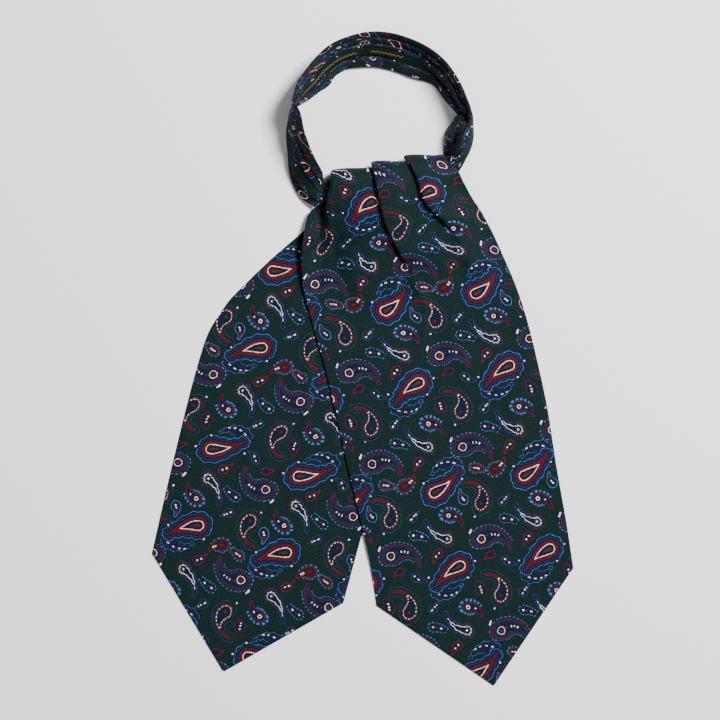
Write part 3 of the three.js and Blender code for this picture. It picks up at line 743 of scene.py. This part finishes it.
# %% [markdown]
# ## The motifs
# `lines` are the inks from the spine outwards, by distance from the edge. `core` are inks
# along the spine, within `wide` of the line `side` mm beside it. `eye` are rings round the
# head's centre, and `petals` waves them and leaves only their outer half. `beads` are short
# strokes across the edge, one every `period` mm, and `lobes` are the height and length of
# waves in the edge itself.

# %% Kinds of motif, in mm
KINDS = dict(
    leaf=dict(head=5.9, tail=1.3, long=20, bend=-13.5, lobes=(0.5, 4.6),
              lines="navy -2.65 slate -2.4 navy -0.42 blue 0",
              core="clear 0 cream 1.8 clear 4.4 cream 6.2 clear 8.8 cream 10.4 clear 12.6 "
                   "cream 14",
              side=1.6, wide=0.42),
    drop=dict(head=10.8, tail=5, long=25, bend=-46, lobes=(0.5, 7.4),
              lines="rust -9.7 navy -7.5 cream -7 navy -6.7 wine -5 navy -2.5 slate -2.3 "
                    "navy -0.5 blue 0 clear 0.9 navy 1.3",
              beads="clear -6.7 red -4.2", period=1.7, until=40),
    large=dict(head=7, tail=1.8, long=28, bend=12.8,
               lines="navy -1.95 slate -1.7 navy -0.62 red 0 navy 0.5",
               core="clear 4 rust 5.8 clear 8.4 cream 9.2 clear 10.8 cream 11.7 clear 13.4 "
                    "cream 14.3",
               side=0, wide=0.75, eye="red 1.1 navy 2.6 cream 3.05",
               beads="clear 1.1 blue 1.8", period=2.1, until=24),
    hook=dict(head=5.7, tail=1, long=25, neck=18, bend=-10.5,
              lines="navy -0.72 red 0 clear 2.25 slate 2.55",
              eye="rust 0.9", beads="clear -1.5 cream -1", period=2.3, until=15),
    crescent=dict(head=4.5, tail=1.5, long=22, bend=18, lobes=(0.4, 5),
                  lines="navy -2.4 cream -2 navy -0.4 slate 0.1 navy 0.8",
                  eye="cream 0.6 navy 2.9 cream 3.3 navy 4.1", petals=9,
                  beads="clear 0.85 red 1.5", period=1.9, until=2),
    comb=dict(head=3.9, tail=1.1, long=13.8, bend=9, lines="navy -0.62 red 0 navy 0.5",
              core="clear 5 cream 6.1", side=0, wide=0.5, eye="rust 0.9 cream 1.45",
              beads="clear 0.8 blue 2.6", period=1.9, until=8),
    mini=dict(head=3.3, tail=1, long=9, bend=-9, lines="navy -0.5 slate 0",
              core="clear -1.4 cream 0 clear 0.8 rust 1.9 clear 2.6 cream 4", side=0, wide=0.55),
    comma=dict(head=3.6, tail=0.8, long=8, bend=-12, lines="navy -0.65 red 0 clear 0.9 navy 1.4",
               core="clear -1 cream 0.3 clear 2.3 cream 3.6", side=0, wide=0.6),
    bud=dict(head=3.4, tail=0.6, long=8, bend=40, lines="navy -0.5 slate 0",
             core="clear -1.8 cream 0 rust 2 cream 3 clear 4 cream 5", side=0, wide=0.55),
    beetle=dict(head=2.7, tail=1.5, long=9, bend=20, lines="navy 0",
                core="clear -1 cream 0.5 clear 2 red 3.4 clear 5.4 cream 7", side=0, wide=0.6,
                beads="clear 0.5 blue 1.2", period=2.1, until=12),
    oval=dict(head=4.8, tail=2.8, long=5, bend=-10, lines="navy -0.8 red 0",
              core="clear -2.6 cream -1.5 clear -0.5 cream 0.6 clear 2 cream 3", side=0, wide=0.6,
              beads="clear -1 navy 0", period=1.7, until=12),
    plain=dict(head=3.1, tail=0.9, long=6, bend=-9, lines="navy -0.7 red 0 clear 1 navy 1.5"),
    filled=dict(head=4.6, tail=1.4, long=11, bend=-13, lines="wine -2 navy -0.65 red 0",
                core="clear -1 rust 2.2 clear 4.6 cream 6 clear 6.8 cream 8", side=0, wide=0.7,
                beads="clear 0.6 blue 1.3", period=2.5, until=8),
    seed=dict(head=3.2, tail=1.7, long=6, bend=15, lines="navy -0.65 red 0",
              core="clear -0.8 cream 0.4 clear 1 cream 2.2 clear 2.8 cream 3.8", side=0, wide=0.5,
              beads="clear 0.6 blue 1.2", period=2.1, until=12),
    ring=dict(head=4, tail=1.1, long=8, bend=9, lines="navy -0.5 blue 0",
              core="clear -1.2 cream 0.2 clear 1 cream 2.1 clear 3.2 red 6", side=0, wide=0.6),
    dash=dict(head=0.7, tail=0.6, long=2.8, bend=40, lines="cream 0 navy 1.4"),
    speck=dict(head=0.6, tail=0.6, long=0.2, bend=40, lines="cream 0 navy 0.9 clear 1.3 navy 1.8"),
)

# %% Where they stand in one repeat, and every how many rows they come again
PLACES = (  # kind, across, down, heading of the spine at the head, rows
    ("leaf", 33.7, 44.3, 36, 2), ("drop", 54.1, 27.8, 166, 2),
    ("leaf", 65.4, 95.2, 213, 2), ("drop", 46.0, 112.9, -17, 2),
    ("large", 4.1, 10.7, -33, 1), ("hook", 9.0, 55.8, -46, 1),
    ("crescent", 48.6, 5.6, -164, 1), ("comb", 53.1, 60.2, 1, 1),
    ("mini", 18.8, 29.8, 60, 2), ("comma", 40.0, 15.5, 150, 1),
    ("bud", 26.7, 56.8, -45, 2), ("beetle", 24.4, -1.7, 12, 1),
    ("oval", 65.7, 48.9, -90, 2), ("plain", 8.9, 23.8, 175, 2),
    ("filled", 24.5, 103.9, -12, 2), ("seed", 9.8, 99.9, 12, 2),
    ("ring", 66.9, 122.1, -125, 2), ("bud", 25.7, 129.2, -40, 2),
    ("dash", 66.4, 4.7, -62, 1), ("speck", 2.3, 64.7, 0, 1),
    ("speck", 28.6, 32.3, 0, 2), ("speck", 57.7, 37.9, 0, 2), ("speck", 65.7, 26.5, 0, 2),
    ("speck", 39.5, 104.2, 0, 2), ("speck", 68.6, 106.3, 0, 2),
)
PETAL_DEEP = 0.35  # mm that petals wave the eye's rings
PETALS_END = 0.9  # mm along the spine, beyond which the eye's rings are left out
print(len(KINDS), "kinds of motif in", len(PLACES), "places")


def paint_print(tree, cloth):
    """The print's colour for a place on the cloth, in mm."""
    colours = add(tree, "RGB")
    colours.default_value = INKS["ground"]
    for name, u, v, heading, rows in PLACES:
        kind = KINDS[name]
        along, across, away = boteh(tree, cloth, u, v, heading, rows, kind)
        if "lobes" in kind or "beads" in kind:
            run = edge_run(tree, along, across, kind["head"])
        if "lobes" in kind:
            away = lobed(tree, away, run, *kind["lobes"])
        colours = over(tree, colours, stripes(tree, away, kind["lines"]))
        if "beads" in kind:
            mask = bead_mask(tree, along, run, kind["period"], kind["until"])
            colours = over(tree, colours, stripes(tree, away, kind["beads"]), mask)
        if "core" in kind:
            beside = add(tree, "Math", (across, kind["side"], kind["wide"]), operation="COMPARE")
            colours = over(tree, colours, stripes(tree, along, kind["core"]), beside)
        if "eye" in kind:
            spot = add(tree, "CombineXYZ", (along, across))
            middle_off = add(tree, "VectorMath", (spot,), 1, operation="LENGTH")
            outer = None
            if "petals" in kind:
                petal = wave(tree, add(tree, "Math", (across, along), operation="ARCTAN2"),
                             2 * math.pi / kind["petals"])
                middle_off = add(tree, "Math", (petal, -PETAL_DEEP, middle_off),
                                 operation="MULTIPLY_ADD")
                outer = add(tree, "Math", (along, PETALS_END), operation="LESS_THAN")
            colours = over(tree, colours, stripes(tree, middle_off, kind["eye"]), outer)
    return colours


# %% [markdown]
# ## Materials
# The cloth is silk in a twill weave: fine slanting ribs, a matte face and a soft sheen where
# it turns away. Ink sinks in unevenly, so a little noise moves the lines and changes the tone.

# %% Printed silk
def material(name, code, rough, gloss=0.5):
    """A plain material of one colour, with its roughness and the strength of its gloss."""
    made = bpy.data.materials.new(name)
    made.use_nodes = True
    shader = made.node_tree.nodes["Principled BSDF"]
    shader.inputs["Base Color"].default_value = colour(code)
    shader.inputs["Roughness"].default_value = rough
    shader.inputs["Specular IOR Level"].default_value = gloss
    return made


def cloth_mm(tree):
    """The place on the flat cloth, in mm: the mesh's own map holds it in metres."""
    return add(tree, "VectorMath", {0: add(tree, "UVMap", uv_map="cloth"), 3: 1000.0},
               operation="SCALE")


RIB = 1.5  # mm between ribs of the twill: about 0.5 on real silk, coarser here so it shows
RIB_RISE = 0.00004  # metres, from the foot of a rib to its top
BLEED = 1.3  # mm that a full swing of the noise would move a line of ink
GRAIN, OCTAVES = 0.8, 2.0  # the noise's swings in a mm, and how many finer ones ride on it
TONE = (0.55, 1.45)  # factors for the ink's brightness where the noise is low and high
silk = material("silk_twill", "#0b1e1d", 0.7, 0.06)
tree = silk.node_tree
shader = tree.nodes["Principled BSDF"]
shader.inputs["Sheen Weight"].default_value = 0.015
shader.inputs["Sheen Roughness"].default_value = 0.5
place_mm = cloth_mm(tree)
wobble = add(tree, "TexNoise", {0: place_mm, 2: GRAIN, 3: OCTAVES}, 1, noise_dimensions="3D")
wobble = add(tree, "VectorMath", (wobble, (0.5, 0.5, 0.5)), operation="SUBTRACT")
wobbly_mm = add(tree, "VectorMath", (wobble, (BLEED, BLEED, 0), place_mm),
                operation="MULTIPLY_ADD")
printed = paint_print(tree, wobbly_mm)
tone = add(tree, "TexNoise", {0: place_mm, 2: GRAIN, 3: OCTAVES})
tone = add(tree, "MapRange", (tone, 0.3, 0.7, *TONE))
printed = add(tree, "VectorMath", {0: printed, 3: tone}, operation="SCALE")
tree.links.new(printed, shader.inputs["Base Color"])
slope = add(tree, "VectorMath", (wobbly_mm, (math.sqrt(0.5), math.sqrt(0.5), 0)), 1,
            operation="DOT_PRODUCT")
ribs = add(tree, "Bump", {"Strength": 1.0, "Distance": RIB_RISE, "Height": wave(tree, slope, RIB)})
tree.links.new(ribs, shader.inputs["Normal"])
print("the print's shader has", len(tree.nodes), "nodes")

# %% [markdown]
# The ribbon inside the band is woven, not printed. A plain zigzag of gold thread runs along
# it, with a bare stretch between two worked ones: a triangle wave of the distance along the
# ribbon says where the thread crosses.

# %% Woven ribbon
WEAVE, GOLD = "#0c1a12", "#756c38"
ZIGZAG = dict(tall=1.6, off=2.6, half=0.4)  # mm: its height, its place across, half a thread
BARE = (61.0, 5.5)  # mm: the middle of the bare stretch, and half its length

ribbon = material("woven_ribbon", WEAVE, 0.7, 0.1)
tree = ribbon.node_tree
across, run, _ = add(tree, "SeparateXYZ", (cloth_mm(tree),)).node.outputs
zigzag = add(tree, "Math", (run, ZIGZAG["tall"]), operation="PINGPONG")
beside = add(tree, "Math", (across, zigzag), operation="SUBTRACT")
thread = add(tree, "Math", (beside, ZIGZAG["off"], ZIGZAG["half"]), operation="COMPARE")
bare = add(tree, "Math", (run, *BARE), operation="COMPARE")
thread = add(tree, "Math", (thread, bare), operation="SUBTRACT", use_clamp=True)
woven = over(tree, colour(WEAVE), (colour(GOLD), thread))
tree.links.new(woven, tree.nodes["Principled BSDF"].inputs["Base Color"])
print("the ribbon's shader has", len(tree.nodes), "nodes")

# %% [markdown]
# ## What each piece stands for
# Every piece lies still on the one rigid body and stands in for the solid nodes of the same
# place, which are hidden. Each piece gets the printed silk or the woven ribbon.

# %% Pieces, nodes and materials
for piece, cloth, *nodes in (
    (front_blade, silk, "front_blade"),
    (back_blade, silk, "back_blade"),
    (neckband, silk, "neckband_left", "neckband_back", "neckband_right"),
    (inner_leaf, silk, "neckband_inner_leaf"),
    (label_strip, ribbon, "label_strip"),
    (knot_core, silk, "knot_core"),
):
    piece.data.materials.append(cloth)
    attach(piece, "root")
    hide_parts(*nodes)

# %% [markdown]
# ## Surface, light and camera
# The cravat lies on a white table under soft light from the upper right. A weaker light from
# the other side keeps the folds' shadows open.

# %% Surface and light
TABLE = 4  # metres from the middle to each edge of the surface
SURROUND = 0.2  # strength of the even light from all sides
floor_mesh = bpy.data.meshes.new("floor")
floor_mesh.from_pydata([(-TABLE, -TABLE, 0), (TABLE, -TABLE, 0), (TABLE, TABLE, 0),
                        (-TABLE, TABLE, 0)], [], [(0, 1, 2, 3)])
floor = bpy.data.objects.new("floor", floor_mesh)
floor_mesh.materials.append(material("pale_surface", "#ffffff", 0.95))
bpy.context.scene.collection.objects.link(floor)


def softbox(name, place_m, size, power):
    """A square area light that looks at the middle of the knot."""
    light = bpy.data.lights.new(name, "AREA")
    light.size, light.energy = size, power
    holder = bpy.data.objects.new(name, light)
    holder.location = place_m
    aim = -np.array(place_m) / np.linalg.norm(place_m)
    holder.rotation_euler = (math.acos(-aim[2]), 0, math.atan2(aim[1], aim[0]) - math.pi / 2)
    bpy.context.scene.collection.objects.link(holder)
    return holder


key = softbox("key", (1.2, 1.1, 2.0), 0.7, 160)
fill = softbox("fill", (-1.0, -0.6, 2.6), 2.0, 8)
world = bpy.data.worlds.new("soft surround")
world.use_nodes = True
world.node_tree.nodes["Background"].inputs["Color"].default_value = (1, 1, 1, 1)
world.node_tree.nodes["Background"].inputs["Strength"].default_value = SURROUND
bpy.context.scene.world = world
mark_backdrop(floor, key, fill)
print("lights, W:", {lamp.name: lamp.data.energy for lamp in (key, fill)})

# %% Camera straight above
LENS, SENSOR = 250, 36  # mm: a long lens, from far away, so that upright cloth hardly leans
SEEN = 0.551  # metres of the surface across the picture
AIM = (-0.0021, -0.0009)  # metres: the place on the surface in the picture's middle
camera = bpy.data.objects.new("camera", bpy.data.cameras.new("camera"))
camera.data.lens = LENS
camera.location = (*AIM, SEEN * LENS / SENSOR)
bpy.context.scene.collection.objects.link(camera)
bpy.context.scene.camera = camera
print("camera height, m:", round(camera.location.z, 2))

# %% Sizes after dressing
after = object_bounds()
print("dressed model, mm:", [round(1000 * (b - a)) for a, b in zip(*after)])
